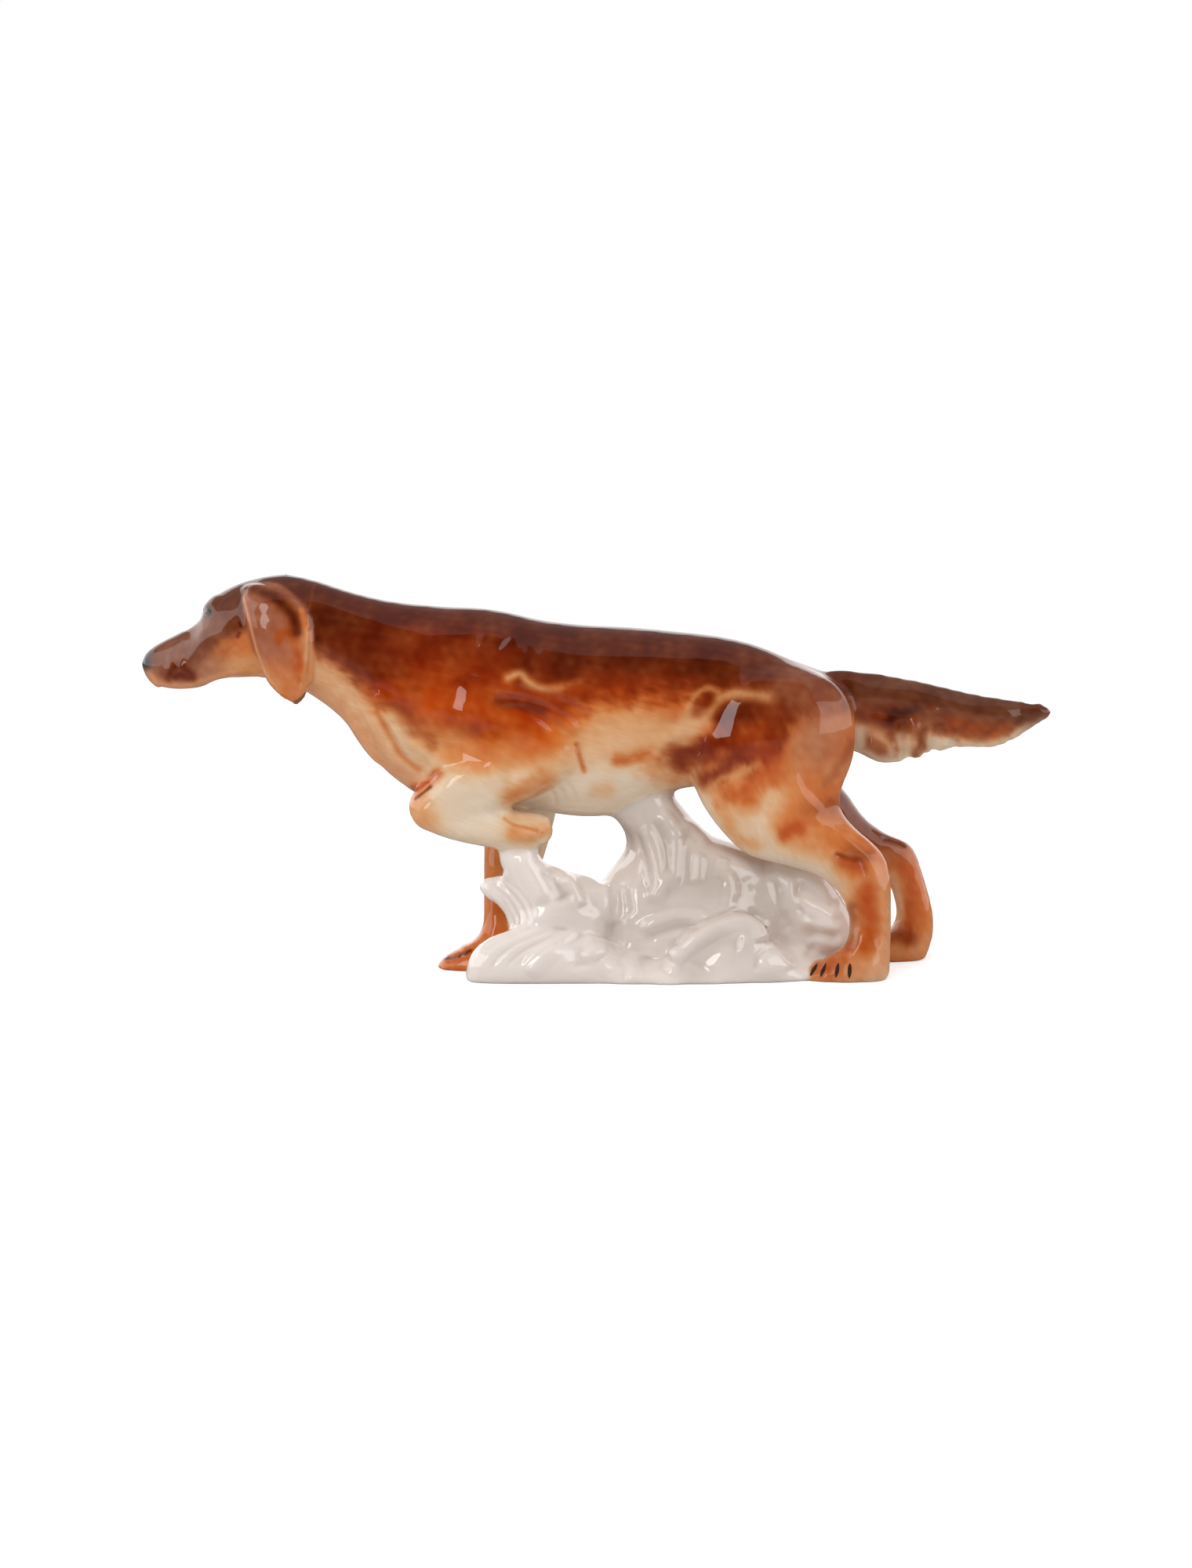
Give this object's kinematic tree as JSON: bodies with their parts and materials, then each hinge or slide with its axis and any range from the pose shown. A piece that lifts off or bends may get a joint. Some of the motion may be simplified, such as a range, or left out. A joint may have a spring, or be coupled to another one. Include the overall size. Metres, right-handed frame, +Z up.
{
  "type": "dog sculpture",
  "caption": "Glazed porcelain figure of a long-coated setter on point, one foreleg raised, striding over white rockwork that carries its belly and paw.",
  "frame": {"origin": "on the surface the figure stands on, at the middle of its length and width", "axes": "+X from nose to tail, +Y to the dog's right side, +Z up; the dog looks along -X and its left side faces -Y"},
  "size_m": [0.3302, 0.058, 0.1449],
  "materials": {
    "coat_glaze": "gloss, airbrushed chestnut under a clear glaze",
    "pale_glaze": "gloss, cream and tan under a clear glaze",
    "rock_glaze": "gloss, white with warm grey in the hollows"
  },
  "bodies": {
    "root": {"body": "coat_glaze", "head": "coat_glaze", "left_ear": "coat_glaze", "right_ear": "coat_glaze", "tail": "coat_glaze", "left_foreleg": "pale_glaze", "right_foreleg": "pale_glaze", "left_hind_leg": "coat_glaze", "right_hind_leg": "coat_glaze", "rock_base": "rock_glaze", "belly_column": "rock_glaze", "paw_tuft": "rock_glaze", "crest_tuft": "rock_glaze", "rear_leaf": "rock_glaze"}
  },
  "joints": []
}
